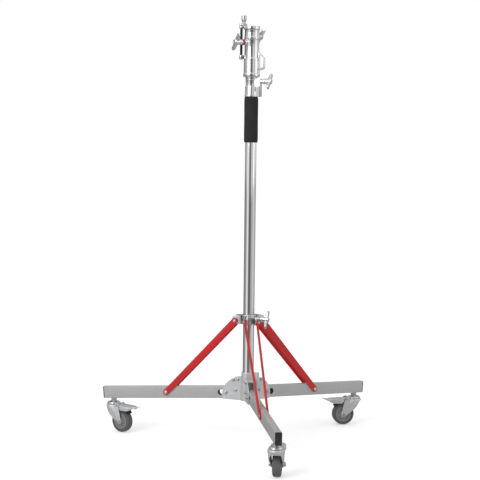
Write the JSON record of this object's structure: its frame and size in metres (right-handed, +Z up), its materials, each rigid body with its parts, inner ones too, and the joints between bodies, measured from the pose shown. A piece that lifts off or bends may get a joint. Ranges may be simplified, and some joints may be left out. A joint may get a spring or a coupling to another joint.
{
  "type": "wheeled light stand",
  "caption": "Rolling steel light stand: a folding braced tripod base on braked casters, a telescopic column with a foam grip, and a head with a socket and a swing-over stud.",
  "frame": {"origin": "on the floor under the middle of the outline of the open base", "axes": "+Z up along the column; the front leg points along -Y; +X to the right seen from the front"},
  "size_m": [0.8704, 0.7541, 1.3271],
  "materials": {
    "chrome_tube": "bright chrome-plated drawn tube",
    "cast_chrome": "chrome-plated casting, softly polished",
    "cast_satin": "nickel-plated casting, satin",
    "zinc_plate": "zinc-plated pressed steel",
    "zinc_fastener": "zinc-plated fastener",
    "leg_steel": "satin grey powder coat on steel box tube",
    "red_paint": "red powder coat",
    "foam": "closed-cell foam",
    "black_plastic": "moulded plastic",
    "grey_nylon": "nylon",
    "red_plastic": "moulded plastic",
    "bronze": "sintered bronze",
    "wheel_plastic": "moulded grey plastic",
    "tyre_rubber": "grey non-marking rubber",
    "black_rubber": "moulded black rubber"
  },
  "bodies": {
    "column": {"column_tube": "chrome_tube", "column_plug": "black_plastic", "hub_sleeve": "zinc_plate", "hub_cheek_right": "zinc_plate", "hub_cheek_back": "zinc_plate", "hub_cheek_left": "zinc_plate", "hub_bolts": "zinc_fastener", "leg_pivot_bolts": "zinc_fastener", "foam_grip": "foam", "riser_clamp": "cast_chrome", "clamp_bush": "grey_nylon"},
    "collar": {"brace_collar": "cast_satin", "collar_bush": "grey_nylon", "ear_bushes": "bronze"},
    "collar_tee": {"collar_tee": "cast_satin"},
    "riser": {"riser_tube": "chrome_tube", "riser_bush": "grey_nylon", "socket_casting": "cast_chrome", "socket_washer": "red_plastic"},
    "riser_tee": {"riser_tee": "cast_chrome"},
    "socket_tee_front": {"socket_tee_front": "cast_chrome"},
    "socket_tee_back": {"socket_tee_back": "cast_chrome"},
    "swing_arm": {"swing_arm": "cast_chrome", "baby_stud": "cast_chrome", "hinge_pin": "zinc_fastener", "hinge_sleeve": "black_rubber"},
    "leg_front": {"leg_tube_front": "leg_steel", "leg_cap_front": "black_plastic", "caster_stem_front": "zinc_fastener", "brace_pin_front": "zinc_fastener"},
    "brace_front": {"brace_bars_front": "red_paint"},
    "fork_front": {"caster_fork_front": "zinc_plate", "axle_front": "zinc_fastener"},
    "wheel_front": {"wheel_core_front": "wheel_plastic", "tyre_front": "tyre_rubber"},
    "pedal_front": {"brake_pedal_front": "zinc_plate", "brake_shoe_front": "black_rubber"},
    "leg_right": {"leg_tube_right": "leg_steel", "leg_cap_right": "black_plastic", "caster_stem_right": "zinc_fastener", "brace_pin_right": "zinc_fastener"},
    "brace_right": {"brace_bars_right": "red_paint"},
    "fork_right": {"caster_fork_right": "zinc_plate", "axle_right": "zinc_fastener"},
    "wheel_right": {"wheel_core_right": "wheel_plastic", "tyre_right": "tyre_rubber"},
    "pedal_right": {"brake_pedal_right": "zinc_plate", "brake_shoe_right": "black_rubber"},
    "leg_left": {"leg_tube_left": "leg_steel", "leg_cap_left": "black_plastic", "caster_stem_left": "zinc_fastener", "brace_pin_left": "zinc_fastener"},
    "brace_left": {"brace_bars_left": "red_paint"},
    "fork_left": {"caster_fork_left": "zinc_plate", "axle_left": "zinc_fastener"},
    "wheel_left": {"wheel_core_left": "wheel_plastic", "tyre_left": "tyre_rubber"},
    "pedal_left": {"brake_pedal_left": "zinc_plate", "brake_shoe_left": "black_rubber"}
  },
  "joints": [
    {"name": "leg_front_fold", "type": "hinge", "parent": "column", "child": "leg_front", "pos_m": [0, 0.04991, 0.15602], "axis": [-1, 0, 0], "range_deg": [0, 94.45]},
    {"name": "brace_front_fold", "type": "hinge", "parent": "leg_front", "child": "brace_front", "pos_m": [0, -0.15309, 0.14022], "axis": [-1, 0, 0], "range_deg": [-133.01, 0]},
    {"name": "caster_front_swivel", "type": "hinge", "parent": "leg_front", "child": "fork_front", "pos_m": [0, -0.34149, 0.085], "axis": [0, 0, 1], "continuous": true},
    {"name": "wheel_front_spin", "type": "hinge", "parent": "fork_front", "child": "wheel_front", "pos_m": [0.01052, -0.30706, 0.036], "axis": [-0.9563, 0.2924, 0], "continuous": true},
    {"name": "pedal_front_press", "type": "hinge", "parent": "fork_front", "child": "pedal_front", "pos_m": [0.00819, -0.31471, 0.0855], "axis": [-0.9563, 0.2924, 0], "range_deg": [0, 4]},
    {"name": "leg_right_fold", "type": "hinge", "parent": "column", "child": "leg_right", "pos_m": [0.06062, 0.15491, 0.15602], "axis": [0.5, -0.866, 0], "range_deg": [0, 94.45]},
    {"name": "brace_right_fold", "type": "hinge", "parent": "leg_right", "child": "brace_right", "pos_m": [0.23642, 0.25641, 0.14022], "axis": [0.5, -0.866, 0], "range_deg": [-133.01, 0]},
    {"name": "caster_right_swivel", "type": "hinge", "parent": "leg_right", "child": "fork_right", "pos_m": [0.39958, 0.35061, 0.085], "axis": [0, 0, 1], "continuous": true},
    {"name": "wheel_right_spin", "type": "hinge", "parent": "fork_right", "child": "wheel_right", "pos_m": [0.36359, 0.35124, 0.036], "axis": [-0.0175, -0.9998, 0], "continuous": true},
    {"name": "pedal_right_press", "type": "hinge", "parent": "fork_right", "child": "pedal_right", "pos_m": [0.37159, 0.3511, 0.0855], "axis": [-0.0175, -0.9998, 0], "range_deg": [0, 4]},
    {"name": "leg_left_fold", "type": "hinge", "parent": "column", "child": "leg_left", "pos_m": [-0.06062, 0.15491, 0.15602], "axis": [0.5, 0.866, 0], "range_deg": [0, 94.45]},
    {"name": "brace_left_fold", "type": "hinge", "parent": "leg_left", "child": "brace_left", "pos_m": [-0.23642, 0.25641, 0.14022], "axis": [0.5, 0.866, 0], "range_deg": [-133.01, 0]},
    {"name": "caster_left_swivel", "type": "hinge", "parent": "leg_left", "child": "fork_left", "pos_m": [-0.39958, 0.35061, 0.085], "axis": [0, 0, 1], "continuous": true},
    {"name": "wheel_left_spin", "type": "hinge", "parent": "fork_left", "child": "wheel_left", "pos_m": [-0.37458, 0.32472, 0.036], "axis": [0.7193, 0.6947, 0], "continuous": true},
    {"name": "pedal_left_press", "type": "hinge", "parent": "fork_left", "child": "pedal_left", "pos_m": [-0.38013, 0.33047, 0.0855], "axis": [0.7193, 0.6947, 0], "range_deg": [0, 4]},
    {"name": "collar_slide", "type": "slide", "parent": "column", "child": "collar", "axis": [0, 0, 1], "range_m": [0, 0.31148]},
    {"name": "riser_slide", "type": "slide", "parent": "column", "child": "riser", "axis": [0, 0, 1], "range_m": [0, 0.75]},
    {"name": "collar_tee_turn", "type": "hinge", "parent": "collar", "child": "collar_tee", "pos_m": [0.0297, 0.10276, 0.391], "axis": [0.866, -0.5, 0], "range_deg": [-180, 360]},
    {"name": "riser_tee_turn", "type": "hinge", "parent": "column", "child": "riser_tee", "pos_m": [0.02927, 0.10301, 1.1245], "axis": [0.866, -0.5, 0], "range_deg": [-180, 360]},
    {"name": "socket_tee_front_turn", "type": "hinge", "parent": "riser", "child": "socket_tee_front", "pos_m": [-0.03042, 0.10637, 1.2426], "axis": [-0.9135, -0.4067, 0], "range_deg": [-180, 360]},
    {"name": "socket_tee_back_turn", "type": "hinge", "parent": "riser", "child": "socket_tee_back", "pos_m": [0.01804, 0.143, 1.2626], "axis": [0.6157, 0.788, 0], "range_deg": [-180, 360]},
    {"name": "arm_swing", "type": "hinge", "parent": "riser", "child": "swing_arm", "pos_m": [-0.03201, 0.12556, 1.2926], "axis": [0, 0, 1], "range_deg": [-76.7, 90]}
  ],
  "couplings": [
    {"joint": "brace_front_fold", "follows": "leg_front_fold", "ratio": -1.4081},
    {"joint": "leg_right_fold", "follows": "leg_front_fold", "ratio": 1},
    {"joint": "brace_right_fold", "follows": "leg_front_fold", "ratio": -1.4081},
    {"joint": "leg_left_fold", "follows": "leg_front_fold", "ratio": 1},
    {"joint": "brace_left_fold", "follows": "leg_front_fold", "ratio": -1.4081},
    {"joint": "collar_slide", "follows": "leg_front_fold", "m_per_rad": 0.18889}
  ]
}
